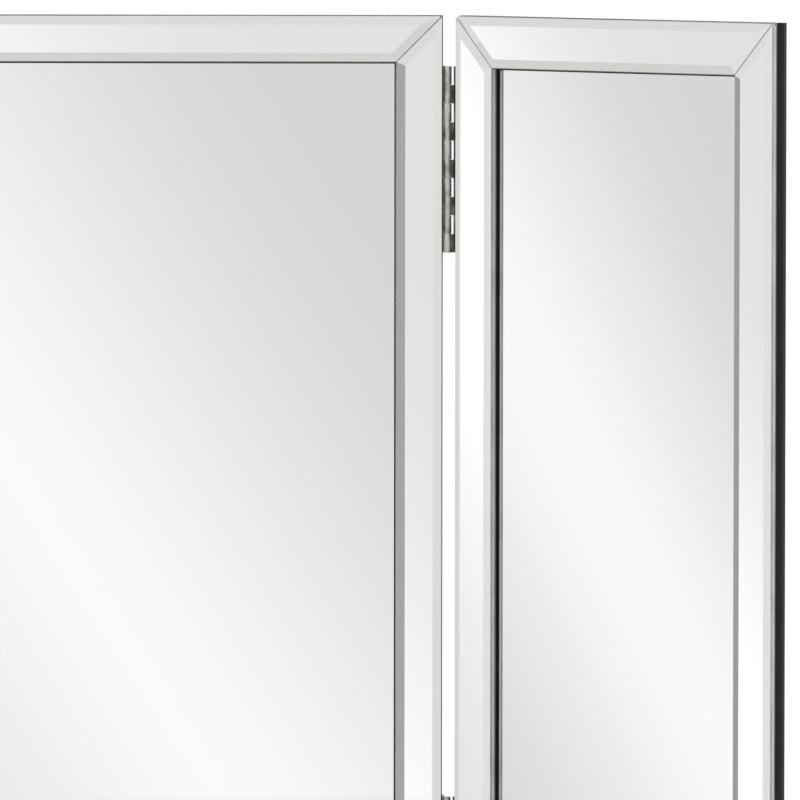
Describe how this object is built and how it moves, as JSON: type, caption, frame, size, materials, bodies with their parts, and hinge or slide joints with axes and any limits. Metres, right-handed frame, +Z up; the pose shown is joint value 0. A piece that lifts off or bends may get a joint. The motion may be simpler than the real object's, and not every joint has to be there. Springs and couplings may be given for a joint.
{
  "type": "tri-fold mirror",
  "caption": "Free-standing folding mirror: hinged panels, each a black board frame with mitred bevelled mirror strips round a recessed pane; the wings fold over the centre.",
  "frame": {"origin": "middle of the footprint of the mirror as it stands with both wings half folded, on the surface under the pads", "axes": "+X to the right along the centre panel, +Y from the mirror faces to the back, +Z up"},
  "size_m": [1.0642, 0.2278, 0.697],
  "materials": {
    "mirror_pane": "silvered float glass",
    "bevelled_mirror": "silvered glass, bevelled and polished edges",
    "black_rail": "fibreboard, satin black paint",
    "black_board": "hardboard, flat black paint",
    "backing": "plain grey-brown board",
    "hinge_metal": "nickel-plated steel, lightly tarnished",
    "zinc_screws": "zinc plated",
    "felt": "pressed felt"
  },
  "bodies": {
    "centre": {"centre_back_board": "black_board", "centre_backing_sheet": "backing", "centre_pane": "mirror_pane", "centre_back_screws": "zinc_screws", "centre_pads": "felt", "centre_bottom_rail": "black_rail", "centre_bottom_strip": "bevelled_mirror", "centre_top_rail": "black_rail", "centre_top_strip": "bevelled_mirror", "centre_left_rail": "black_rail", "centre_left_strip": "bevelled_mirror", "centre_right_rail": "black_rail", "centre_right_strip": "bevelled_mirror", "left_lower_hinge_centre_leaf": "hinge_metal", "left_lower_hinge_pin": "hinge_metal", "left_lower_hinge_centre_screws": "zinc_screws", "left_upper_hinge_centre_leaf": "hinge_metal", "left_upper_hinge_pin": "hinge_metal", "left_upper_hinge_centre_screws": "zinc_screws", "right_lower_hinge_centre_leaf": "hinge_metal", "right_lower_hinge_pin": "hinge_metal", "right_lower_hinge_centre_screws": "zinc_screws", "right_upper_hinge_centre_leaf": "hinge_metal", "right_upper_hinge_pin": "hinge_metal", "right_upper_hinge_centre_screws": "zinc_screws"},
    "left_wing": {"left_wing_back_board": "black_board", "left_wing_backing_sheet": "backing", "left_wing_pane": "mirror_pane", "left_wing_back_screws": "zinc_screws", "left_wing_pads": "felt", "left_wing_bottom_rail": "black_rail", "left_wing_bottom_strip": "bevelled_mirror", "left_wing_top_rail": "black_rail", "left_wing_top_strip": "bevelled_mirror", "left_wing_hinge_rail": "black_rail", "left_wing_hinge_strip": "bevelled_mirror", "left_wing_outer_rail": "black_rail", "left_wing_outer_strip": "bevelled_mirror", "left_lower_hinge_wing_leaf": "hinge_metal", "left_lower_hinge_wing_screws": "zinc_screws", "left_upper_hinge_wing_leaf": "hinge_metal", "left_upper_hinge_wing_screws": "zinc_screws"},
    "right_wing": {"right_wing_back_board": "black_board", "right_wing_backing_sheet": "backing", "right_wing_pane": "mirror_pane", "right_wing_back_screws": "zinc_screws", "right_wing_pads": "felt", "right_wing_bottom_rail": "black_rail", "right_wing_bottom_strip": "bevelled_mirror", "right_wing_top_rail": "black_rail", "right_wing_top_strip": "bevelled_mirror", "right_wing_hinge_rail": "black_rail", "right_wing_hinge_strip": "bevelled_mirror", "right_wing_outer_rail": "black_rail", "right_wing_outer_strip": "bevelled_mirror", "right_lower_hinge_wing_leaf": "hinge_metal", "right_lower_hinge_wing_screws": "zinc_screws", "right_upper_hinge_wing_leaf": "hinge_metal", "right_upper_hinge_wing_screws": "zinc_screws"}
  },
  "joints": [
    {"name": "left_wing_fold", "type": "hinge", "parent": "centre", "child": "left_wing", "pos_m": [-0.306, 0.09623, 0], "axis": [0, 0, 1], "range_deg": [-53, 135]},
    {"name": "right_wing_fold", "type": "hinge", "parent": "centre", "child": "right_wing", "pos_m": [0.306, 0.09623, 0], "axis": [0, 0, -1], "range_deg": [-53, 135]}
  ]
}
